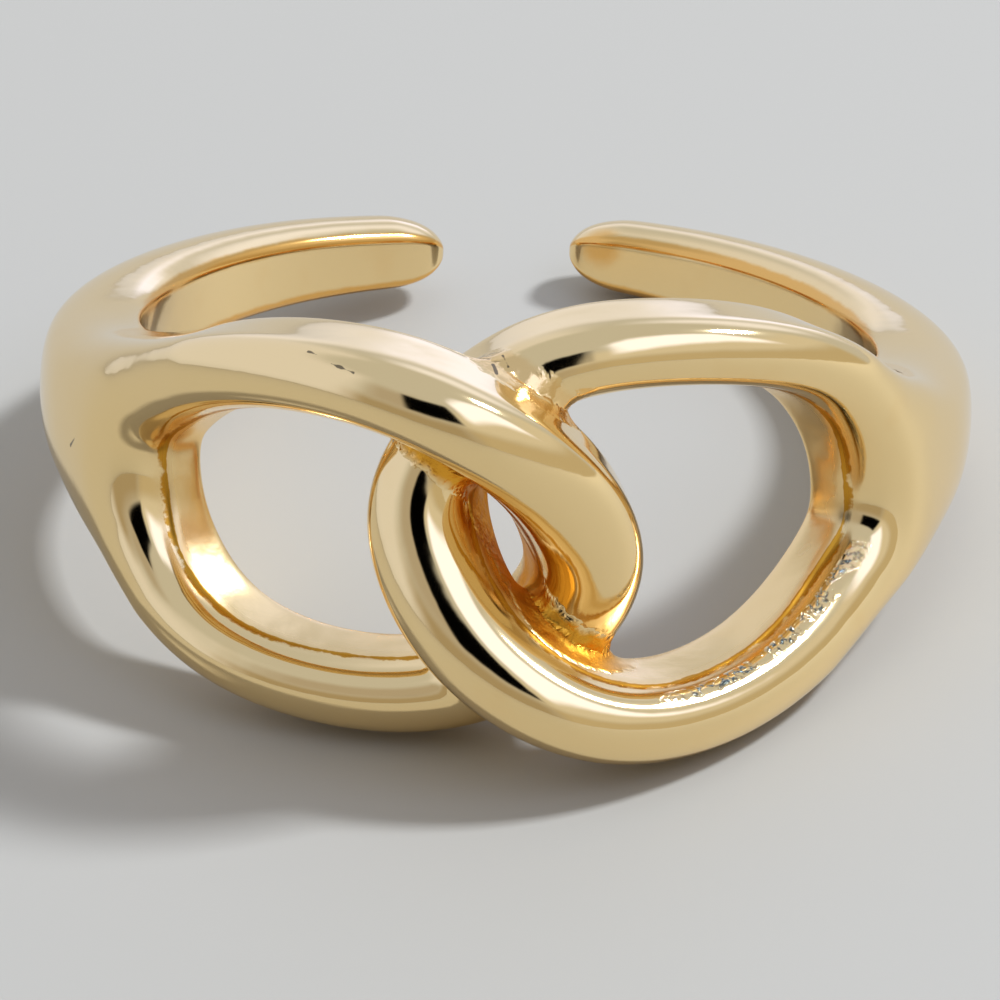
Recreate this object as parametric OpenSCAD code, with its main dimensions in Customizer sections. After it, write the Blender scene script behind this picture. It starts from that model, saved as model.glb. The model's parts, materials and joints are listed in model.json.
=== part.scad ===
// Adjustable open knot ring: one casting, two interlocked teardrop links at
// the front, a tapering band round each side and two free ends at the back.
// It lies on its side on Z = 0, resting on both links and one free end, with
// the knot towards -Y.

/* [Finger hole] */
// Inner diameter of the ring
inner_d = 17.2; // [16:0.1:19]

/* [Strands] */
// Part of a strand's section that is a straight wall before the dome starts
wall_share = 0.25; // [0.15:0.05:0.4]
// Squareness of the domed back, 1 for a half ellipse and less for squarer
dome_squareness = 0.8; // [0.6:0.05:1]

/* [Free ends] */
// Length over which each free end is rounded off
tip_round = 1.1; // [0.5:0.1:1.6]
// Size of the flat that is left at the very end, as a part of the section
tip_flat = 0.3; // [0.2:0.05:0.6]

/* [Resting pose] */
// Angle that the finger hole leans back from upright
rest_lean = 12.0; // [8:0.1:16]
// Angle that the ring leans towards its right side
rest_roll = 5.4; // [2:0.1:7]

/* [Resolution] */
// Sections along each link
link_sections = 76; // [48:2:90]
// Sections along each side of the band
band_sections = 38; // [24:2:60]
// Sections over the rounding of a free end
tip_sections = 6; // [4:1:8]
// Points over the domed back of a section
dome_points = 11; // [7:2:15]

/* [Hidden] */
hole_r = inner_d / 2;
hole_len = 40;
cut_depth = 0.3;
near = 0.002;

// Columns of the link table. Angles run round the finger hole from the middle
// of the front towards +X, heights along the hole, and a rise is measured out
// from the wall of the hole.
ANGLE = 0;
HEIGHT = 1;
INNER_RISE = 2;
CREST_RISE = 3;
WIDTH = 4;

// The left link, once round: its outer end, the upper strand that climbs over
// the other link, the turn at the middle, and the lower strand behind it.
LINK = [
    [-56.3,  1.10, 0.8, 2.95, 2.50],
    [-46.0,  2.33, 0.9, 3.05, 2.10],
    [-32.8,  3.49, 1.3, 3.70, 1.80],
    [-18.0,  4.03, 1.8, 4.50, 1.80],
    [ -7.0,  3.62, 2.1, 4.95, 2.06],
    [  4.3,  2.05, 1.8, 4.40, 2.40],
    [ 10.3,  0.10, 1.0, 3.55, 2.50],
    [ 11.4, -1.60, 0.2, 2.90, 2.20],
    [ -0.5, -3.85, 0.0, 2.30, 1.85],
    [-16.5, -4.40, 0.0, 2.30, 1.70],
    [-36.0, -4.10, 0.3, 2.70, 1.60],
    [-46.7, -3.10, 0.6, 2.75, 1.85],
    [-54.8, -1.35, 0.8, 2.95, 2.40]
];

// The left side of the band, from inside the link's outer end to the free
// end, with the same columns. Past the link its inner face is the wall of the
// hole, and it thins towards the free end.
BAND = [
    [ -50.0,  0.00, 0.9, 1.90, 4.20],
    [ -53.0,  0.00, 0.9, 2.88, 4.60],
    [ -60.0,  0.00, 0.6, 3.02, 4.60],
    [ -70.0,  0.00, 0.1, 2.70, 3.70],
    [ -85.0, -0.03, 0.0, 2.37, 2.65],
    [-112.0, -0.05, 0.0, 2.14, 2.20],
    [-144.0, -0.05, 0.0, 1.95, 1.95],
    [-171.0, -0.10, 0.0, 1.63, 1.50]
];

// Weights of a cubic B-spline on its four nearest control rows
function weights(u) = [
    pow(1 - u, 3) / 6,
    (3 * pow(u, 3) - 6 * pow(u, 2) + 4) / 6,
    (-3 * pow(u, 3) + 3 * pow(u, 2) + 3 * u + 1) / 6,
    pow(u, 3) / 6
];

// A closed table picks its rows round and round. An open one mirrors a row
// past each end, so that the curve starts and ends on its end rows.
function closed_row(table, i) = table[(i + len(table)) % len(table)];
function open_row(table, i) =
    let (last = len(table) - 1)
    i < 0 ? 2 * table[0] - table[-i]
        : i > last ? 2 * table[last] - table[2 * last - i] : table[i];

function blend(w, rows) = w[0] * rows[0] + w[1] * rows[1] + w[2] * rows[2] + w[3] * rows[3];

// One station of a link or of the band, with t from 0 to 1 along it
function link_station(t) =
    let (s = t * len(LINK), i = floor(s))
    blend(weights(s - i), [for (k = [-1:2]) closed_row(LINK, i + k)]);
function band_station(t) =
    let (s = t * (len(BAND) - 1), i = min(floor(s), len(BAND) - 2))
    blend(weights(s - i), [for (k = [-1:2]) open_row(BAND, i + k)]);

function outward(angle) = [sin(angle), -cos(angle), 0];
function around(angle) = [cos(angle), sin(angle), 0];
function unit(v) = v / norm(v);

// Direction of the path on the wall of the hole, from two near stations
function heading(a, b, r) =
    unit(around((a[ANGLE] + b[ANGLE]) / 2) * (b[ANGLE] - a[ANGLE]) * r * PI / 180
        + [0, 0, b[HEIGHT] - a[HEIGHT]]);

// Section of a strand as [across, out] points: a flat inner face, straight
// walls and a domed back, drawn about its own middle when it is scaled
function section(width, inner, crest, scale) =
    let (
        depth = crest - inner,
        wall = max(depth - width / 2, wall_share * depth),
        middle = inner + depth / 2,
        dome = [for (k = [0:dome_points - 1])
            let (a = 180 * k / (dome_points - 1), c = cos(a))
            [sign(c) * pow(abs(c), dome_squareness) * width / 2,
                inner + wall + pow(sin(a), dome_squareness) * (depth - wall)]],
        foot = [[-width / 2, inner], [-width / 6, inner], [width / 6, inner], [width / 2, inner]]
    )
    [for (p = concat(dome, foot)) [p.x * scale, middle + (p.y - middle) * scale]];

// An inner face near the wall of the hole runs a little into it, and what is
// inside is bored away
function inner_of(station) =
    let (rise = station[INNER_RISE])
    rise < cut_depth ? 2 * rise - cut_depth : rise;

// Ring of points in space for one station
function ring_points(station, along, scale) =
    let (
        out = outward(station[ANGLE]),
        across = cross(along, out),
        base = (hole_r * out) + [0, 0, station[HEIGHT]],
        flat = section(station[WIDTH], inner_of(station), station[CREST_RISE], scale)
    )
    [for (p = flat) base + p.x * across + p.y * out];

function link_ring(t) =
    let (before = link_station(t + 1 - near), after = link_station(t + 1 + near))
    ring_points(link_station(t), heading(before, after, hole_r), 1);
function band_ring(t, scale) =
    let (station = band_station(t))
    ring_points(station, -around(station[ANGLE]), scale);

// A free end shrinks along a quarter circle over its last stretch
LAST_SPAN = (BAND[len(BAND) - 2][ANGLE] - BAND[len(BAND) - 1][ANGLE]) * PI / 180 * hole_r;
TIP_START = 1 - tip_round / LAST_SPAN / (len(BAND) - 1);
BODY_STEPS = band_sections - tip_sections - 1;

LINK_RINGS = [for (k = [0:link_sections - 1]) link_ring(k / link_sections)];
BAND_RINGS = concat(
    [for (k = [0:BODY_STEPS]) band_ring(TIP_START * k / BODY_STEPS, 1)],
    [for (k = [1:tip_sections])
        let (a = 90 * k / tip_sections)
        band_ring(TIP_START + (1 - TIP_START) * sin(a), max(cos(a), tip_flat))]
);

// Half a turn about Y carries the left half of the ring to the right half
function half_turn(p) = [-p.x, p.y, -p.z];

// Turns of the resting pose, about X and then about Y
function lean(p) = [p.x, p.y * cos(rest_lean) + p.z * sin(rest_lean),
    -p.y * sin(rest_lean) + p.z * cos(rest_lean)];
function roll(p) = [p.x * cos(rest_roll) + p.z * sin(rest_roll), p.y,
    -p.x * sin(rest_roll) + p.z * cos(rest_roll)];

// Points of the left half that are still there after the hole is bored
LEFT_POINTS = [
    for (rings = [LINK_RINGS, BAND_RINGS]) for (ring = rings) for (p = ring)
        if (norm([p.x, p.y]) > hole_r) p
];
REST_POINTS = [for (p = LEFT_POINTS) for (q = [p, half_turn(p)]) roll(lean(q))];
LOW = [for (k = [0:2]) min([for (p = REST_POINTS) p[k]])];
HIGH = [for (k = [0:2]) max([for (p = REST_POINTS) p[k]])];

// Skin between neighbouring rings, each quad as two triangles
function skin(rings, points, closed) = [
    for (i = [0:rings - (closed ? 1 : 2)]) for (j = [0:points - 1])
        let (
            a = i * points + j,
            b = i * points + (j + 1) % points,
            c = ((i + 1) % rings) * points + (j + 1) % points,
            d = ((i + 1) % rings) * points + j
        )
        for (face = [[a, b, c], [a, c, d]]) face
];

module link() {
    points = len(LINK_RINGS[0]);
    polyhedron(
        points = [for (ring = LINK_RINGS) for (p = ring) p],
        faces = skin(link_sections, points, true)
    );
}

// The end caps fan out from the top of the dome, so no triangle is flat
module band_side() {
    points = len(BAND_RINGS[0]);
    last = (band_sections - 1) * points;
    crest = floor(dome_points / 2);
    polyhedron(
        points = [for (ring = BAND_RINGS) for (p = ring) p],
        faces = concat(
            skin(band_sections, points, false),
            [[for (j = [points:-1:1]) (crest + j) % points]],
            [[for (j = [0:points - 1]) last + (crest + j) % points]]
        )
    );
}

module half_ring() {
    link();
    band_side();
}

module knot_ring() {
    color("#d9bd7c")
        translate([-(LOW.x + HIGH.x) / 2, -(LOW.y + HIGH.y) / 2, -LOW.z])
            rotate([0, rest_roll, 0])
                rotate([-rest_lean, 0, 0])
                    difference() {
                        union() {
                            half_ring();
                            rotate([0, 180, 0]) half_ring();
                        }
                        cylinder(h = hole_len, r = hole_r, center = true, $fn = 180);
                    }
}

knot_ring();
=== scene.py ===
"""Adjustable open knot ring, lying on its side on a pale floor.

One polished casting: two interlocked teardrop links, a band that tapers round each side,
and two free ends at the back. Its lengths are in millimetres, in the ring's own frame, until
it is laid in its resting pose and scaled to metres.
"""

import json
import math

import bmesh
import bpy
from mathutils import Matrix, Vector, kdtree, noise
from mathutils.bvhtree import BVHTree


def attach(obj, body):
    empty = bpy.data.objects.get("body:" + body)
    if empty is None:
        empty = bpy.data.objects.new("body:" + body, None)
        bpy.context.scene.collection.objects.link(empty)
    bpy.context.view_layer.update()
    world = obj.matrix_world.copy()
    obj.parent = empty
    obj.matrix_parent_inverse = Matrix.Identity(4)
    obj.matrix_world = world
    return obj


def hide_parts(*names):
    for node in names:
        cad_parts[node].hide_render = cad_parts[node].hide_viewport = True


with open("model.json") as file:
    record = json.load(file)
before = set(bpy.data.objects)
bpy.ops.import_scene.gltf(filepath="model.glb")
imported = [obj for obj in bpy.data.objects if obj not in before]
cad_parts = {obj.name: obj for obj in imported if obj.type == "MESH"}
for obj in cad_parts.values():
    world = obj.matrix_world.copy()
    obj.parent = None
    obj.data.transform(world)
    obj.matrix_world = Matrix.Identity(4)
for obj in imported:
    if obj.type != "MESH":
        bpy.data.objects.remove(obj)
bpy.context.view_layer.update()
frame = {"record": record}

# A millimetre in metres
MM = 0.001

# The finger hole and the resting pose
HOLE_R = 8.6
REST_LEAN = math.radians(12.0)
REST_ROLL = math.radians(5.4)

# Columns of the tables: the angle round the finger hole from the middle of the front, the
# height along the hole, the rise of the inner face and of the crest from the hole's wall,
# the width of the strand, and how far its foot flares into the opening
ANGLE, HEIGHT, INNER, CREST, WIDTH, FLARE = range(6)
LINK = [
    (-56.3, 1.1, 0.8, 2.95, 2.5, 0.16),
    (-46.0, 2.33, 0.9, 3.05, 2.1, 0.06),
    (-32.8, 3.49, 1.3, 3.7, 1.8, 0.0),
    (-18.0, 4.03, 1.8, 4.5, 1.75, 0.0),
    (-7.0, 3.62, 2.1, 4.95, 2.0, 0.08),
    (4.3, 2.05, 1.8, 4.4, 2.35, 0.12),
    (10.3, 0.1, 1.0, 3.55, 2.5, 0.14),
    (11.4, -1.6, 0.2, 2.9, 2.2, 0.16),
    (-0.5, -3.85, 0.0, 2.3, 1.85, 0.16),
    (-16.5, -4.4, 0.0, 2.3, 1.7, 0.1),
    (-36.0, -4.1, 0.3, 2.7, 1.6, 0.12),
    (-46.7, -3.1, 0.6, 2.75, 1.85, 0.18),
    (-54.8, -1.35, 0.8, 2.95, 2.4, 0.2),
]
BAND = [
    (-50.0, 0.0, 0.9, 1.9, 4.2, 0.0),
    (-53.0, 0.0, 0.9, 2.8, 4.6, 0.0),
    (-60.0, 0.0, 0.6, 2.92, 4.6, 0.0),
    (-70.0, 0.0, 0.1, 2.6, 3.7, 0.0),
    (-85.0, -0.03, 0.0, 2.3, 2.65, 0.0),
    (-112.0, -0.05, 0.0, 2.1, 2.2, 0.0),
    (-144.0, -0.05, 0.0, 1.9, 1.95, 0.0),
    (-170.7, -0.1, 0.0, 1.6, 1.5, 0.0),
]

# A strand's section as (across, share of the wall, share of the dome), from the middle of
# the foot up the side of the opening, over the crest and down the outer side
STRAND = [
    (0.45, 0.0, 0.0),
    (0.93, 0.0, 0.0),
    (1.03, 0.16, 0.0),
    (1.03, 0.5, 0.0),
    (1.02, 0.88, 0.0),
    (0.985, 1.0, 0.0),
    (0.935, 1.0, 0.10),
    (0.86, 1.0, 0.46),
    (0.57, 1.0, 0.88),
    (0.0, 1.0, 1.075),
    (-0.70, 1.0, 0.85),
    (-1.03, 1.0, 0.42),
    (-1.01, 0.9, 0.0),
    (-1.01, 0.45, 0.0),
    (-1.01, 0.14, 0.0),
    (-0.91, 0.0, 0.0),
    (-0.45, 0.0, 0.0),
]
# The point of that section on the crease, and the two between which the band leaves
CREASE = 5
SHOULDER_FROM, SHOULDER_TO = 10, 15
# The least share of a section's depth that is straight wall
WALL_SHARE = 0.25

# The band's section as (height, share of the wall, share of the dome), from the crest at
# the lower edge up its face, down the upper side and back along the inner face. Its sides
# and its foot grow rounder between two angles.
FACE_ROWS = [-0.80, -0.52, -0.18, 0.18, 0.52, 0.80]
FACE_DOME = [0.90, 1.02, 1.06, 1.06, 1.02, 0.90]
SIDE = [(1.03, 1.0, 0.48), (1.01, 0.9, 0.0), (1.01, 0.45, 0.0), (1.01, 0.14, 0.0)]
ROUND_SIDE = [(0.99, 1.0, 0.30), (1.03, 0.9, 0.0), (1.03, 0.6, 0.0), (0.96, 0.3, 0.0)]
FOOT_ROWS = [0.91, 0.55, 0.18, -0.18, -0.55, -0.91]
ROUND_FOOT = [0.78, 0.48, 0.16, -0.16, -0.48, -0.78]
ROUND_FROM, ROUND_TO = -75.0, -115.0

# Surface marks at each point of the sections: how far it is left as cast, how far it is the
# unpolished crease between the wall of the opening and the dome, which also carries painted
# shade and a painted reflection of gold, and how far it can be scuffed. On the band the crease
# mark picks the inner edges that carry a painted reflection of gold. The fourth mark, worked
# out later, is how near the other link is.
MARKS = ("cast", "crease", "scuff")
SEAM_MARK = "seam"
PLAIN, CAST_EDGE, PAINTED_REFLECTION_EDGE = (0, 0, 0), (0.1, 0, 0), (0.1, 0.6, 0)
LINK_MARKS = [(1, 0, 0)] * 4 + [(1, 0.2, 0), (0.8, 1, 0), (0.2, 0.8, 0.3), (0, 0, 1)]
LINK_MARKS += [(0, 0, 0.5)] + [PLAIN] * 6 + [(0.8, 0, 0)] * 2
# The band's inner edges marked here carry a painted reflection of gold
BAND_MARKS = [PLAIN] * 9 + [CAST_EDGE, PAINTED_REFLECTION_EDGE] + [CAST_EDGE] * 4
BAND_MARKS += [PAINTED_REFLECTION_EDGE, CAST_EDGE] + [PLAIN] * 3

# The rings of the link's cage, the two between which the band leaves its outer side, the
# angles of the band's rings, and the halvings that find each angle on the band's table
STATIONS = 26
OPEN_TOP, OPEN_BOTTOM = 2, 23
BAND_ANGLES = [-68, -75, -84, -96, -110, -125, -140, -152, -161]
HALVINGS = 40

# A free end is rounded off over this length, with rings at these degrees of a quarter circle
TIP_ROUND = 1.1
TIP_TURNS = (0, 32, 58, 80)

# Half the reach in which the path's heading is measured, as a share of the link
HEADING_STEP = 0.004

# Pull of the outer side towards the opening at the stations by the band's two corners, and
# how much fuller the dome is there on its outer side
CORNER_PULL = {19: 0.98, 20: 0.93, 21: 0.89, 22: 0.87, 23: 0.87, 24: 0.93}
CORNER_PULL |= {1: 0.95, 2: 0.88, 3: 0.93, 4: 0.97}
CORNER_FULL = {21: 0.1, 22: 0.6, 23: 1, 24: 1, 25: 1, 0: 1, 1: 1, 2: 0.8, 3: 0.3}
FULLER = {10: 0.12, 11: 0.16}

# How far the crease wanders up and down the side of the opening, as the mean of two waves
# along the strand with these rates and this shift
WANDER = 0.07
WANDER_RATES = (2.3, 1.1)
WANDER_SHIFT = 2

# Subdivision before and after the shoulders are softened, and how far round a corner, how
# many times and by what share they are
CAGE_LEVELS, FINE_LEVELS = 2, 1
SOFT_REACH, SOFT_TIMES, SOFT_SHARE = 1.3, 8, 0.5

# Reach of the cast fillet where the two links touch, the least turn between two faces that
# it is worked out for, the height and scale of its lumps, and how far from the other link
# the casting can be left rough and orange
FILLET = 0.6
LEAST_TURN = 0.05
LUMP_HEIGHT, LUMP_SCALE = 0.06, 2.4
STAIN_REACH = 1.6


def cubic_weights(u):
    """Weights of a cubic B-spline on its four nearest rows."""
    return (
        (1 - u) ** 3 / 6,
        (3 * u**3 - 6 * u**2 + 4) / 6,
        (-3 * u**3 + 3 * u**2 + 3 * u + 1) / 6,
        u**3 / 6,
    )


def mix_rows(rows, u):
    return [sum(w * value for w, value in zip(cubic_weights(u), column)) for column in zip(*rows)]


def link_station(t):
    s = (t % 1.0) * len(LINK)
    i = math.floor(s)
    return mix_rows([LINK[(i + k) % len(LINK)] for k in (-1, 0, 1, 2)], s - i)


def band_row(i):
    """A row of the band's table, mirrored past an end so that the curve starts or stops there."""
    last = len(BAND) - 1
    if i < 0:
        return [2 * a - b for a, b in zip(BAND[0], BAND[-i])]
    if i > last:
        return [2 * a - b for a, b in zip(BAND[last], BAND[2 * last - i])]
    return BAND[i]


def band_station(s):
    i = min(math.floor(s), len(BAND) - 2)
    return mix_rows([band_row(i + k) for k in (-1, 0, 1, 2)], s - i)


def band_station_at(angle):
    """The band's station at an angle round the hole, found by halving."""
    low, high = 0.0, len(BAND) - 1.0
    for _ in range(HALVINGS):
        middle = (low + high) / 2
        if band_station(middle)[ANGLE] > angle:
            low = middle
        else:
            high = middle
    return band_station(low)


def outward(angle):
    a = math.radians(angle)
    return Vector((math.sin(a), -math.cos(a), 0))


def around(angle):
    a = math.radians(angle)
    return Vector((math.cos(a), math.sin(a), 0))


def eased(share):
    share = min(max(share, 0.0), 1.0)
    return share * share * (3 - 2 * share)


def between(first, second, share):
    return [tuple(a + (b - a) * share for a, b in zip(p, q)) for p, q in zip(first, second)]


def section_points(station, across, shape):
    """Places the (across, wall, dome) points of a section at a station."""
    angle, height, inner, crest, width, _ = station
    out = outward(angle)
    depth = crest - inner
    wall = max(depth - width / 2, WALL_SHARE * depth)
    base = out * HOLE_R + Vector((0, 0, height))
    return [
        base + across * (x * width / 2) + out * (inner + wall * a + (depth - wall) * b)
        for x, a, b in shape
    ]


def crease_waves(k):
    first, second = WANDER_RATES
    return math.sin(first * k) + math.sin(second * k + WANDER_SHIFT)


def link_ring(k):
    """One ring of the link's cage."""
    k %= STATIONS
    t = k / STATIONS
    before, here, after = (link_station(t + d) for d in (-HEADING_STEP, 0, HEADING_STEP))
    out = outward(here[ANGLE])
    along = around(here[ANGLE]) * math.radians(after[ANGLE] - before[ANGLE]) * HOLE_R
    along += Vector((0, 0, after[HEIGHT] - before[HEIGHT]))
    pull, flare = CORNER_PULL.get(k, 1.0), here[FLARE] * 2 / here[WIDTH]
    full = CORNER_FULL.get(k, 0)
    shape = [
        (x * pull if x < 0 else x + flare * max(1 - a, 0), a, b + full * FULLER.get(i, 0))
        for i, (x, a, b) in enumerate(STRAND)
    ]
    points = section_points(here, along.normalized().cross(out), shape)
    wander = out * WANDER * crease_waves(k) / 2
    for i in range(CREASE - 1, CREASE + 2):
        points[i] += wander
    return points


def kept_size(before, here, after):
    """Moves a ring out so that the smoothed surface runs through it and not inside it."""
    return [p - (a - 2 * p + b) / 6 for a, p, b in zip(before, here, after)]


def band_ring(station):
    """One ring of the band, in the order of the opening in the link's outer side."""
    up = Vector((0, 0, 1))
    share = eased((station[ANGLE] - ROUND_FROM) / (ROUND_TO - ROUND_FROM))
    side = between(SIDE, ROUND_SIDE, share)
    flat_foot, round_foot = ([(z, 0.0, 0.0) for z in rows] for rows in (FOOT_ROWS, ROUND_FOOT))
    foot = between(flat_foot, round_foot, share)
    crest = [(z, 1.0, b) for z, b in zip(FACE_ROWS, FACE_DOME)]
    lower = [(-z, a, b) for z, a, b in reversed(side)]
    return section_points(station, up, crest + side + foot + lower)


def ring_edges(bm, ring):
    return [bm.edges.get((ring[i - 1], v)) for i, v in enumerate(ring)]


def first_ring(bm, points):
    ring = bmesh.ops.create_circle(bm, segments=len(points), radius=1)["verts"]
    for v, p in zip(ring, points):
        v.co = p
    return ring


def pull_ring(bm, ring, points):
    """Extrudes a closed ring of vertices to new places and returns the new ring."""
    made = bmesh.ops.extrude_edge_only(bm, edges=ring_edges(bm, ring))["geom"]
    new = {v for v in made if isinstance(v, bmesh.types.BMVert)}
    pulled = [next(o for e in v.link_edges if (o := e.other_vert(v)) in new) for v in ring]
    for v, p in zip(pulled, points):
        v.co = p
    return pulled


def mark_ring(ring, layers, shares):
    for v, values in zip(ring, shares):
        for layer, value in zip(layers, values):
            v[layer] = value
    return ring


def draw_link(bm, layers):
    """Draws the link ring by ring, closes it round and returns its rings."""
    places = [
        kept_size(link_ring(k - 1), link_ring(k), link_ring(k + 1)) for k in range(STATIONS)
    ]
    rings = [mark_ring(first_ring(bm, places[0]), layers, LINK_MARKS)]
    for points in places[1:]:
        rings.append(mark_ring(pull_ring(bm, rings[-1], points), layers, LINK_MARKS))
    bmesh.ops.bridge_loops(bm, edges=ring_edges(bm, rings[0]) + ring_edges(bm, rings[-1]))
    return rings


def open_shoulder(bm, rings):
    """Cuts the way out for the band into the link's outer side and returns its rim."""
    run = [k % STATIONS for k in range(OPEN_BOTTOM, STATIONS + OPEN_TOP + 1)]
    patch = {rings[k][i] for k in run for i in range(SHOULDER_FROM, SHOULDER_TO + 1)}
    inside = [f for f in bm.faces if all(v in patch for v in f.verts)]
    rim = [rings[k][SHOULDER_FROM] for k in run]
    rim += [rings[OPEN_TOP][i] for i in range(SHOULDER_FROM + 1, SHOULDER_TO)]
    rim += [rings[k][SHOULDER_TO] for k in reversed(run)]
    rim += [rings[OPEN_BOTTOM][i] for i in range(SHOULDER_TO - 1, SHOULDER_FROM, -1)]
    bmesh.ops.delete(bm, geom=inside, context="FACES")
    return rim


def draw_band(bm, layers, ring):
    for angle in BAND_ANGLES:
        ring = pull_ring(bm, ring, band_ring(band_station_at(angle)))
        mark_ring(ring, layers, BAND_MARKS)
    return ring


def draw_tip(bm, ring):
    """Rounds off the free end over its last stretch and closes it."""
    end = BAND[-1][ANGLE]
    stretch = math.degrees(TIP_ROUND / HOLE_R)
    for turn in TIP_TURNS:
        a = math.radians(turn)
        points = band_ring(band_station_at(end + stretch * (1 - math.sin(a))))
        middle = sum(points, Vector()) / len(points)
        ring = pull_ring(bm, ring, [middle + (p - middle) * math.cos(a) for p in points])
    bmesh.ops.contextual_create(bm, geom=ring_edges(bm, ring))


def half_cage():
    """Cage of the left half: a link, and the band drawn out of its outer side."""
    bm = bmesh.new()
    layers = [bm.verts.layers.float.new(name) for name in MARKS]
    rings = draw_link(bm, layers)
    ring = draw_band(bm, layers, open_shoulder(bm, rings))
    draw_tip(bm, ring)
    bmesh.ops.recalc_face_normals(bm, faces=bm.faces)
    return bm


def in_scene(obj):
    bpy.context.scene.collection.objects.link(obj)
    return obj


def mesh_object(name, bm):
    mesh = bpy.data.meshes.new(name)
    bm.to_mesh(mesh)
    bm.free()
    return in_scene(bpy.data.objects.new(name, mesh))


def bake_modifiers(obj):
    graph = bpy.context.evaluated_depsgraph_get()
    mesh = bpy.data.meshes.new_from_object(obj.evaluated_get(graph))
    obj.modifiers.clear()
    obj.data = mesh
    return obj


def subdivide(obj, levels):
    mod = obj.modifiers.new("smooth", "SUBSURF")
    mod.levels = mod.render_levels = levels
    mod.boundary_smooth = "ALL"
    return bake_modifiers(obj)


def soften_shoulder(obj):
    """Evens out the surface round the four corners where the band leaves the link."""
    corners = [
        link_ring(k)[i] for k in (OPEN_TOP, OPEN_BOTTOM) for i in (SHOULDER_FROM, SHOULDER_TO)
    ]
    bm = bmesh.new()
    bm.from_mesh(obj.data)
    near = [v for v in bm.verts if min((v.co - c).length for c in corners) < SOFT_REACH]
    every_way = dict(use_axis_x=True, use_axis_y=True, use_axis_z=True)
    for _ in range(SOFT_TIMES):
        bmesh.ops.smooth_vert(bm, verts=near, factor=SOFT_SHARE, **every_way)
    bm.to_mesh(obj.data)
    bm.free()


def make_half(name):
    half = mesh_object(name, half_cage())
    subdivide(half, CAGE_LEVELS)
    soften_shoulder(half)
    return subdivide(half, FINE_LEVELS)


def tree_of(obj):
    bm = bmesh.new()
    bm.from_mesh(obj.data)
    tree = BVHTree.FromBMesh(bm)
    bm.free()
    return tree


def fillet_rise(gap, turn):
    """How far a surface rises into the fillet at a gap from the other surface.

    Turn is one minus the cosine between the two normals. The two risen surfaces meet
    halfway and in one direction, so that the seam between them is round.
    """
    short = FILLET - gap
    if short <= 0:
        return 0.0
    left = max(FILLET - turn * short, 0.0)
    rise = ((math.sqrt(FILLET) - math.sqrt(left)) / turn) ** 2
    return max(min(rise, FILLET / 4, FILLET / 2 + gap), 0.0)


def raise_fillet(half, other_tree):
    """Lifts one half towards the other where they come near, and marks how near they are."""
    seam = half.data.attributes.new(SEAM_MARK, "FLOAT", "POINT")
    normals = [v.normal.copy() for v in half.data.vertices]
    for v, normal in zip(half.data.vertices, normals):
        spot, facing, _, _ = other_tree.find_nearest(v.co)
        gap = (v.co - spot).dot(facing)
        seam.data[v.index].value = eased(1 - abs(gap) / STAIN_REACH)
        near = eased(1 - abs(gap) / FILLET)
        if near > 0:
            lump = noise.noise(v.co * LUMP_SCALE) * LUMP_HEIGHT * near
            turn = max(1 - normal.dot(facing), LEAST_TURN)
            v.co += normal * (fillet_rise(gap, turn) + lump)


def carry_marks(source, target):
    """Copies the surface marks to each vertex from the nearest one of the source halves."""
    points = [(v.co, half, v.index) for half in source for v in half.data.vertices]
    tree = kdtree.KDTree(len(points))
    for i, (co, _, _) in enumerate(points):
        tree.insert(co, i)
    tree.balance()
    nearest = [points[tree.find(v.co)[1]] for v in target.data.vertices]
    marks = target.data.attributes
    for name in (*MARKS, SEAM_MARK):
        mark = marks.get(name) or marks.new(name, "FLOAT", "POINT")
        values = [half.data.attributes[name].data[i].value for _, half, i in nearest]
        mark.data.foreach_set("value", values)


def laid_down():
    """The matrix that carries the ring's own frame to its resting place, in metres."""
    hole = next(m for m in frame["record"]["mounts"] if m["name"] == "finger_hole")
    lean = Matrix.Rotation(-REST_LEAN, 4, "X")
    roll = Matrix.Rotation(REST_ROLL, 4, "Y")
    return Matrix.Translation(hole["pos_m"]) @ roll @ lean @ Matrix.Scale(MM, 4)


def make_casting():
    """Joins the left half and the same half turned over into one closed casting."""
    left = make_half("knot_ring_left")
    right = in_scene(left.copy())
    right.data = left.data.copy()
    right.data.transform(Matrix.Rotation(math.pi, 4, "Y"))
    trees = tree_of(left), tree_of(right)
    raise_fillet(left, trees[1])
    raise_fillet(right, trees[0])

    casting = in_scene(left.copy())
    casting.name = "knot_ring_casting"
    join = casting.modifiers.new("join", "BOOLEAN")
    join.operation = "UNION"
    join.solver = "FAST"
    join.object = right
    bake_modifiers(casting)
    carry_marks((left, right), casting)
    bpy.data.objects.remove(left)
    bpy.data.objects.remove(right)
    casting.data.transform(laid_down())
    casting.data.shade_smooth()
    return casting


class Socket:
    """Wraps a socket, so that maths on values adds its Math nodes."""

    def __init__(self, nodes, link):
        self.nodes, self.link = nodes, link

    def maths(self, operation, *others):
        inputs = dict(enumerate((self, *others)))
        return self.nodes.add("ShaderNodeMath", dict(operation=operation), inputs)

    def __add__(self, other):
        return self.maths("ADD", other)

    __radd__ = __add__

    def __mul__(self, other):
        return self.maths("MULTIPLY", other)

    __rmul__ = __mul__

    def __sub__(self, other):
        return self.maths("SUBTRACT", other)

    def __rsub__(self, other):
        return (self * -1.0) + other

    def __pow__(self, other):
        return self.maths("POWER", other)


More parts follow.
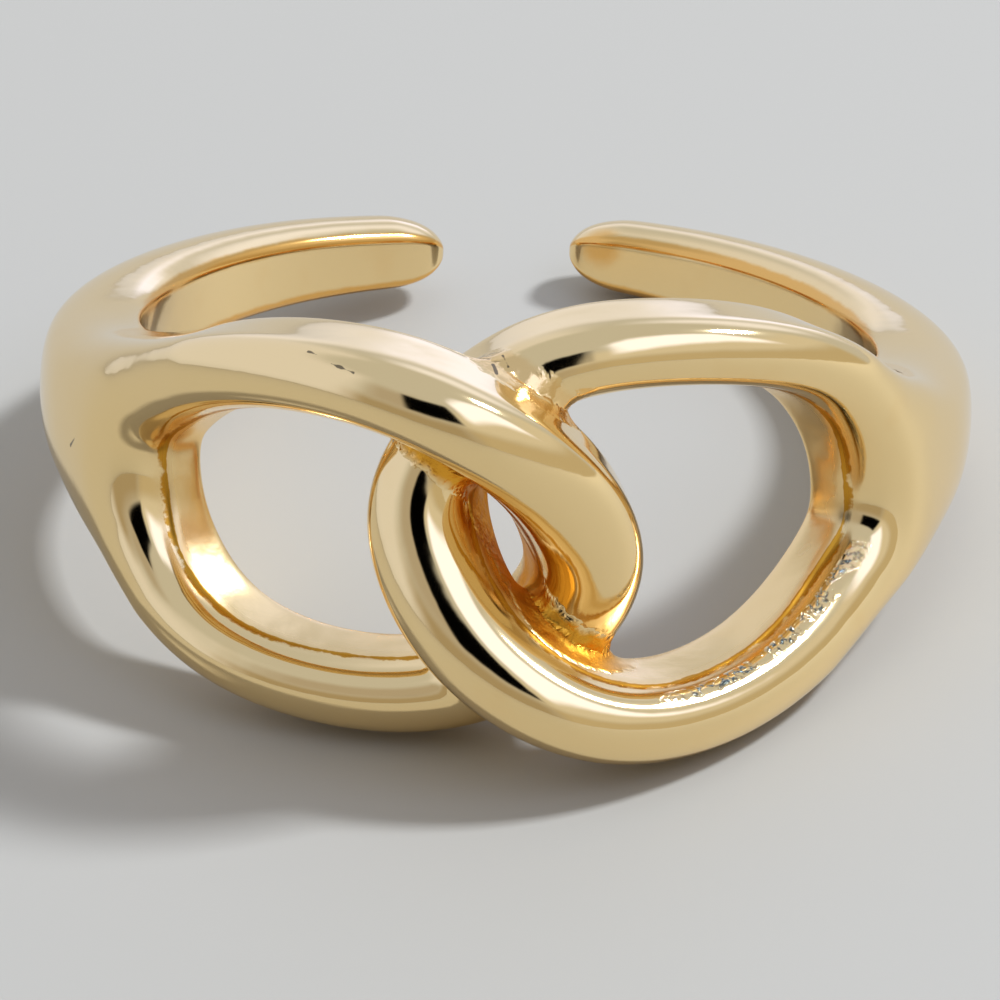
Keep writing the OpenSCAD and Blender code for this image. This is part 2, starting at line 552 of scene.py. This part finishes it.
class Nodes:
    """A node tree that is built one node at a time."""

    def __init__(self, tree):
        self.tree = tree
        tree.nodes.clear()

    def add(self, kind, settings=None, inputs=None, output=0):
        node = self.tree.nodes.new(kind)
        for key, value in (settings or {}).items():
            setattr(node, key, value)
        for key, value in (inputs or {}).items():
            socket = node.inputs[key]
            if isinstance(value, Socket):
                self.tree.links.new(value.link, socket)
            else:
                socket.default_value = value
        return Socket(self, node.outputs[output]) if node.outputs else node

    def vector(self, operation, *others, output="Vector"):
        """A Vector Math node, whose output Value is the number that DISTANCE and DOT give."""
        settings, inputs = dict(operation=operation), dict(enumerate(others))
        return self.add("ShaderNodeVectorMath", settings, inputs, output)

    def noise(self, place, per_mm, detail, roughness):
        inputs = {"Vector": place, "Scale": per_mm / MM, "Detail": detail, "Roughness": roughness}
        return self.add("ShaderNodeTexNoise", None, inputs)

    def axis(self, place, letter):
        """One coordinate of a place, in millimetres."""
        inputs = {"Vector": place}
        return self.add("ShaderNodeSeparateXYZ", None, inputs, letter) * (1 / MM)

    def gap(self, first, second):
        """How far apart two places are, in millimetres."""
        return self.vector("DISTANCE", first, second, output="Value") * (1 / MM)

    def mark(self, name):
        return self.add("ShaderNodeAttribute", dict(attribute_name=name), output="Fac")

    def step(self, value, low, high):
        inputs = {"Value": value, "From Min": low, "From Max": high}
        return self.add("ShaderNodeMapRange", dict(interpolation_type="SMOOTHSTEP"), inputs)

    def mix(self, share, first, second):
        """A Mix node. Its two colours are the inputs 6 and 7, and the result is output 2."""
        inputs = {"Factor": share, 6: first, 7: second}
        return self.add("ShaderNodeMix", dict(data_type="RGBA"), inputs, 2)

    def principled(self, inputs):
        shader = self.add("ShaderNodeBsdfPrincipled", inputs=inputs)
        self.add("ShaderNodeOutputMaterial", inputs={"Surface": shader})


def new_material(name):
    mat = bpy.data.materials.new(name)
    mat.use_nodes = True
    return mat, Nodes(mat.node_tree)


def torn(value, noise_value, amount):
    """Moves a value up and down with a noise, so that what fades along it has a ragged edge."""
    return value + (noise_value - 0.5) * amount


def largest(first, *others):
    for other in others:
        first = first.maths("MAXIMUM", other)
    return first


# Colours of the polished plate, of the rough joint, which also paints the reflection of gold
# along the free ends' inner edges and the warm patch by the right free end, of the painted
# shade and painted reflection of gold in the crease, of the scuffs where the plate is rubbed
# through, and of the nicks
GOLD = (0.93, 0.70, 0.35, 1)
ORANGE = (0.78, 0.37, 0.035, 1)
CREASE_PAINTED_SHADE = (0.60, 0.29, 0.03, 1)
SCUFF_GREY = (0.15, 0.17, 0.14, 1)
NICK_DARK = (0.10, 0.08, 0.05, 1)

# Noises of the surface as (grains to the millimetre, detail, roughness)
DRIFT = (0.35, 2, 0.5)
CLOUDS = (0.55, 3, 0.5)
WAVES = (0.8, 2, 0.5)
LUMPS = (0.9, 1, 0.5)
PATCHES = (1.3, 1, 0.5)
RAGGED = (1.3, 4, 0.7)
CRUST = (1.6, 1, 0.5)
GRAIN = (3.0, 2, 0.5)
SCRATCHES = (7.0, 3, 0.65)
SPECKS = (14.0, 2, 0.5)

# The joint of the links: how its stain follows the seam, the cast skin and the grain, where
# it fades, and the heights where it is clean, the upper one only by the share that follows,
# in millimetres of the resting frame
JOINT_SEAM, JOINT_CAST, JOINT_TORN = 1.1, 0.6, 0.4
JOINT_FADE = (0.42, 0.75)
CLEAN_BELOW = (2.0, 2.6)
CLEAN_ABOVE, CLEANED = (7.6, 8.6), 0.75

# The crease's painted shade and painted reflection of gold: how torn its edges are and where it
# fades; and where the crease starts to be rough
CREASE_SHADE_TORN = 0.8
CREASE_SHADE_FADE = (0.78, 0.88)
CREASE_ROUGH_FADE = (0.15, 0.7)

# The scuffed stripe: how it fades across the strand, in patches and in specks, to the left
# along X and upwards along Z, in millimetres of the resting frame
SCUFF_FADE = (0.68, 0.88)
PATCH_FADE = (0.36, 0.5)
SPECK_FADE = (0.49, 0.55)
SCUFF_SIDE = (3.4, 4.6)
SCUFF_TOP = (2.65, 2.95)

# The painted reflection of gold along the inner edge of the free ends, and where it starts along
# Y
EDGE_REFLECTION_TORN, EDGE_REFLECTION_FADE, EDGE_REFLECTION_FROM = 0.3, (0.15, 0.4), (2.0, 4.0)

# A warm orange patch by the right free end, in millimetres of the resting frame
RIGHT_END_PATCH, RIGHT_END_PATCH_TORN, RIGHT_END_PATCH_FADE = (2.1, 10.25, 1.6), 0.4, (0.2, 0.7)

# The dark nicks as (start, end, half width), in millimetres of the resting frame
NICKS = [
    ((-9.91, -3.50, 5.04), (-9.79, -3.67, 5.33), 0.035),
    ((-3.97, -8.43, 10.39), (-3.79, -8.59, 10.40), 0.05),
    ((-3.45, -8.93, 10.36), (-2.95, -9.26, 10.31), 0.04),
    ((0.32, -7.38, 9.46), (0.45, -7.75, 9.39), 0.04),
    ((0.10, -7.75, 9.46), (0.19, -8.06, 9.42), 0.045),
]
NICK_TORN, NICK_CORE, NICK_DEPTH = 0.12, 0.4, 0.85

# How orange each stained place, the painted edge reflection and the warm patch by the right free
# end are, the joint being wholly so, and where the clouds fade
CAST_STAIN, CLOUD_STAIN, EDGE_PAINTED_REFLECTION, RIGHT_END_PATCH_ORANGE = 0.1, 0.1, 0.7, 0.6
CLOUD_FADE = (0.55, 0.8)

# Roughness of the polish, its drift, and what the cast skin, the crease and the joint add
POLISH, POLISH_DRIFT = 0.045, 0.05
CAST_ROUGH, CREASE_ROUGH, JOINT_ROUGH = 0.2, 0.1, 0.2

# Heights of the relief, in millimetres
WAVE_HEIGHT = 0.010
CAST_LUMPS, CAST_GRAIN = 0.06, 0.008
JOINT_CRUST, JOINT_GRAIN, JOINT_SPECKS = 0.10, 0.04, 0.012
SCUFF_HEIGHT = 0.08


def joint_share(n, cast, grain, height):
    """Where the joint of the links is rough and orange."""
    seam = n.mark(SEAM_MARK)
    reach = (seam**2.0) * JOINT_SEAM + seam * cast * JOINT_CAST
    share = n.step(torn(reach, grain, JOINT_TORN), *JOINT_FADE)
    return share * (1.0 - CLEANED * n.step(height, *CLEAN_ABOVE)) * n.step(height, *CLEAN_BELOW)


def scuff_share(n, place, height):
    """The scuffed stripe along the dome of the right link's lower strand."""
    stripe = n.step(n.mark("scuff"), *SCUFF_FADE)
    patches = n.step(n.noise(place, *PATCHES), *PATCH_FADE)
    specks = n.step(n.noise(place, *SCRATCHES), *SPECK_FADE)
    low = 1.0 - n.step(height, *SCUFF_TOP)
    return stripe * patches * specks * low * n.step(n.axis(place, "X"), *SCUFF_SIDE)


def nick_share(n, place, grain):
    """Where the short dark nicks are: near one of the lines from a start to an end."""
    shares = []
    for start, end, half_width in NICKS:
        a, run = Vector(start) * MM, (Vector(end) - Vector(start)) * MM
        off = n.vector("SUBTRACT", place, a)
        along = n.vector("DOT_PRODUCT", off, run / run.length_squared, output="Value")
        along = along.maths("MAXIMUM", 0.0).maths("MINIMUM", 1.0)
        foot = n.add("ShaderNodeCombineXYZ", inputs={0: along, 1: along, 2: along})
        gap = torn(n.gap(off, n.vector("MULTIPLY", foot, run)), grain, NICK_TORN)
        shares.append(1.0 - n.step(gap, half_width * NICK_CORE, half_width))
    return largest(*shares) * NICK_DEPTH


def stain_and_painted_reflection_share(n, place, cast, near_crease, ragged, joint):
    """How orange the metal is: the joint, the cast skin and clouds as stains, the painted
    reflection of gold along the free ends' edge, and a warm patch by the right free end.
    """
    clouds = n.step(n.noise(place, *CLOUDS), *CLOUD_FADE)
    # A painted reflection of gold along the inner edge of the free ends
    painted_edge_reflection = n.step(torn(near_crease, ragged, EDGE_REFLECTION_TORN), *EDGE_REFLECTION_FADE)
    painted_edge_reflection = painted_edge_reflection * n.step(n.axis(place, "Y"), *EDGE_REFLECTION_FROM)
    # Orange laid on round a point by the right free end
    patch_gap = torn(n.gap(place, Vector(RIGHT_END_PATCH) * MM), ragged, RIGHT_END_PATCH_TORN)
    right_end_patch = 1.0 - n.step(patch_gap, *RIGHT_END_PATCH_FADE)
    return largest(
        joint, cast * CAST_STAIN, clouds * CLOUD_STAIN, painted_edge_reflection * EDGE_PAINTED_REFLECTION, right_end_patch * RIGHT_END_PATCH_ORANGE
    )


def gold_material():
    """Polished gold plating that is left rough and orange where no wheel could reach, with
    painted shade and a painted reflection of gold in its creases and a painted reflection of gold
    along the free ends' inner edges.
    """
    mat, n = new_material("polished gold")
    place = n.add("ShaderNodeTexCoord", output="Object")
    height = n.axis(place, "Z")
    cast, near_crease = n.mark("cast"), n.mark("crease")
    grain, fine, ragged = (n.noise(place, *kind) for kind in (GRAIN, SPECKS, RAGGED))
    joint = joint_share(n, cast, grain, height)
    scuffed = scuff_share(n, place, height)

    # The crease painted dark brown: painted shade and a painted reflection of gold in the recess
    crease = n.step(torn(near_crease, ragged, CREASE_SHADE_TORN), *CREASE_SHADE_FADE)
    stain_and_painted_reflection = stain_and_painted_reflection_share(n, place, cast, near_crease, ragged, joint)
    colour = n.mix(crease, n.mix(stain_and_painted_reflection, GOLD, ORANGE), CREASE_PAINTED_SHADE)
    colour = n.mix(scuffed, colour, SCUFF_GREY)
    colour = n.mix(nick_share(n, place, grain), colour, NICK_DARK)

    rough = (
        POLISH
        + n.noise(place, *DRIFT) * POLISH_DRIFT
        + cast * CAST_ROUGH
        + n.step(near_crease, *CREASE_ROUGH_FADE) * CREASE_ROUGH
        + joint * JOINT_ROUGH
    )
    cast_relief = n.noise(place, *LUMPS) * CAST_LUMPS + grain * CAST_GRAIN
    crust = n.noise(place, *CRUST) * JOINT_CRUST
    relief = (
        n.noise(place, *WAVES) * WAVE_HEIGHT
        + cast * cast_relief
        + joint * (crust + grain * JOINT_GRAIN + fine * JOINT_SPECKS)
        + scuffed * fine * SCUFF_HEIGHT
    )
    bump = n.add("ShaderNodeBump", inputs={"Height": relief, "Distance": MM})
    n.principled({"Base Color": colour, "Metallic": 1.0, "Roughness": rough, "Normal": bump})
    return mat


# Half the floor's side in metres, its colour and its roughness
FLOOR_HALF = 0.6
FLOOR_GREY = (0.440, 0.400, 0.305, 1)
FLOOR_ROUGH = 0.6


def make_floor():
    bm = bmesh.new()
    bmesh.ops.create_grid(bm, x_segments=1, y_segments=1, size=FLOOR_HALF)
    floor = mesh_object("floor", bm)
    mat, n = new_material("pale floor")
    n.principled({"Base Color": FLOOR_GREY, "Roughness": FLOOR_ROUGH})
    floor.data.materials.append(mat)


# The camera in the ring's own frame: the angles by which it is raised over the plane across
# the hole, turned round the ring and rolled, its distance, the picture's scale in pixels to
# the millimetre, and the place of the ring's centre in it. Then come the focal length in
# pixels, the range that the camera sees in metres, the picture's side in pixels and the
# sensor's in millimetres.
CAM_ELEVATION = math.radians(19.85)
CAM_AZIMUTH = math.radians(-0.92)
CAM_ROLL = math.radians(2.92)
CAM_DISTANCE = 250.0
CAM_SCALE = 42.46
CAM_CENTRE = (505.9, 378.1)
CAM_FOCAL = CAM_SCALE * CAM_DISTANCE
CAM_CLIP = (0.01, 10)
FRAME_PX = 1000
SENSOR = 36.0


def camera_axes():
    """The camera's right, up and forward directions, aimed so that its shift is nothing."""
    sin_e, cos_e = math.sin(CAM_ELEVATION), math.cos(CAM_ELEVATION)
    sin_a, cos_a = math.sin(CAM_AZIMUTH), math.cos(CAM_AZIMUTH)
    sin_r, cos_r = math.sin(CAM_ROLL), math.cos(CAM_ROLL)
    look = Vector((-sin_a * cos_e, cos_a * cos_e, -sin_e))
    right = Vector((cos_a, sin_a, 0))
    up = right.cross(look)
    right, up = cos_r * right + sin_r * up, -sin_r * right + cos_r * up
    middle = FRAME_PX / 2
    aim = look * CAM_FOCAL + right * (middle - CAM_CENTRE[0]) - up * (middle - CAM_CENTRE[1])
    forward = aim.normalized()
    right = forward.cross(up).normalized()
    return look, right, right.cross(forward), forward


def make_camera():
    look, right, up, forward = camera_axes()
    pose = laid_down()
    turn = pose.to_3x3().normalized()
    data = bpy.data.cameras.new("camera")
    data.sensor_width = SENSOR
    data.lens = CAM_FOCAL / FRAME_PX * SENSOR
    data.clip_start, data.clip_end = CAM_CLIP
    cam = in_scene(bpy.data.objects.new("camera", data))
    basis = Matrix((turn @ right, turn @ up, turn @ -forward)).transposed().to_4x4()
    cam.matrix_world = Matrix.Translation(pose @ (look * -CAM_DISTANCE)) @ basis
    bpy.context.scene.camera = cam


def direction(azimuth, elevation):
    """Unit vector from the ring, with azimuth 0 to the back and 90 to the right."""
    a, e = math.radians(azimuth), math.radians(elevation)
    return Vector((math.sin(a) * math.cos(e), math.cos(a) * math.cos(e), math.sin(e)))


# The light tent, and its parts as (azimuth, elevation, half width, half height, droop, soft
# edge, colour) in degrees, each laid over those before it: the right wall and its foot, the
# front wall and its upper part, the left wall, a strip at the back and its bright middle,
# the back reflector, the bright reflector overhead on the right, and the dark gap that the
# camera looks through. Droop is how far a part sinks at its two ends.
TENT = (0.58, 0.63, 0.75)
PANELS = [
    (115, 26, 55, 12, 0, 8, (0.70, 0.71, 0.74)),
    (115, 4, 52, 12, 0, 6, (0.55, 0.51, 0.42)),
    (202, 2, 36, 16, 0, 9, (0.40, 0.36, 0.29)),
    (206, 32, 18, 14, 0, 8, (0.46, 0.45, 0.46)),
    (292, 26, 60, 28, 0, 9, (0.77, 0.83, 1.05)),
    (8, 7.5, 24, 6.5, 0, 6.5, (0.88, 0.95, 1.22)),
    (13, 5.5, 9, 4.5, 0, 4, (1.15, 1.3, 2.0)),
    (27, 31, 18, 10, 0, 9, (0.98, 1.1, 1.6)),
    (127, 48, 29, 13, 8, 5, (1.3, 1.48, 2.3)),
    (184, 33, 18.5, 12.5, 0, 2.5, (0, 0, 0)),
]


def make_world():
    world = bpy.data.worlds.new("studio")
    bpy.context.scene.world = world
    world.use_nodes = True
    n = Nodes(world.node_tree)
    ray = n.add("ShaderNodeTexCoord", output="Generated")

    def along(axis):
        return n.vector("DOT_PRODUCT", ray, axis, output="Value")

    def within(angle, reach, soft):
        reach, soft = math.radians(reach), math.radians(soft)
        return 1.0 - n.step(angle.maths("ABSOLUTE"), reach - soft, reach + soft)

    height = along(Vector((0, 0, 1))).maths("ARCSINE")
    light = (*TENT, 1)
    for azimuth, elevation, wide, high, droop, soft, colour in PANELS:
        turn = along(direction(azimuth + 90, 0)).maths("ARCTAN2", along(direction(azimuth, 0)))
        sunk = (turn * (1 / math.radians(wide))) ** 2.0 * math.radians(droop)
        level_off = height - math.radians(elevation) + sunk
        share = within(turn, wide, soft) * within(level_off, high, soft)
        light = n.mix(share, light, (*colour, 1))
    shade = n.add("ShaderNodeBackground", inputs={"Color": light, "Strength": 1.0})
    n.add("ShaderNodeOutputWorld", inputs={"Surface": shade})


# The key light: where it hangs, what it is aimed at and its size, all in metres, its power
# in watts, and its colour
KEY_PLACE = direction(77, 50) * 0.6
KEY_TARGET = Vector((0, 0, 0.004))
KEY_SIZE, KEY_POWER = 0.09, 3.7
KEY_COLOUR = (0.875, 0.985, 1.28)


def make_key_light():
    data = bpy.data.lights.new("key", "AREA")
    data.size = KEY_SIZE
    data.energy = KEY_POWER
    data.color = KEY_COLOUR
    lamp = in_scene(bpy.data.objects.new("key", data))
    lamp.location = KEY_PLACE
    lamp.rotation_euler = (KEY_TARGET - KEY_PLACE).to_track_quat("-Z", "Y").to_euler()


def main():
    make_camera()
    make_world()
    make_floor()
    make_key_light()
    bpy.context.scene.view_settings.view_transform = "Standard"
    casting = make_casting()
    casting.data.materials.append(gold_material())
    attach(casting, "root")
    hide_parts("knot_ring")


main()
